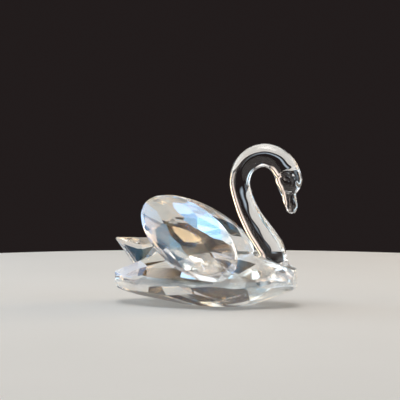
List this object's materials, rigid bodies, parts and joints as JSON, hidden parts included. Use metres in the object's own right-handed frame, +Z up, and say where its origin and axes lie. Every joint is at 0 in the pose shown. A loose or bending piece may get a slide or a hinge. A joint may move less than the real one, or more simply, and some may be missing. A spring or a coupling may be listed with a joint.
{
  "type": "crystal glass swan figurine",
  "caption": "Small crystal glass swan: faceted boat-shaped body, faceted oval wings and tail, and a smooth curved neck and head, glued together.",
  "frame": {"origin": "on the plane of the flat base, under the middle of the body's length", "axes": "+X towards the head, +Y towards the swan's left wing, +Z up"},
  "size_m": [0.0596, 0.0326, 0.0495],
  "materials": {
    "cut_crystal": "clear cut crystal, flat polished faces with sharp edges",
    "moulded_glass": "clear moulded glass, fire polished, with soft edges",
    "clear_adhesive": "thin cured clear adhesive, faintly milky"
  },
  "bodies": {
    "root": {"body": "cut_crystal", "left_wing": "cut_crystal", "right_wing": "cut_crystal", "tail": "cut_crystal", "neck_and_head": "moulded_glass", "left_wing_bond": "clear_adhesive", "right_wing_bond": "clear_adhesive", "tail_bond": "clear_adhesive", "neck_bond": "clear_adhesive"}
  },
  "joints": []
}
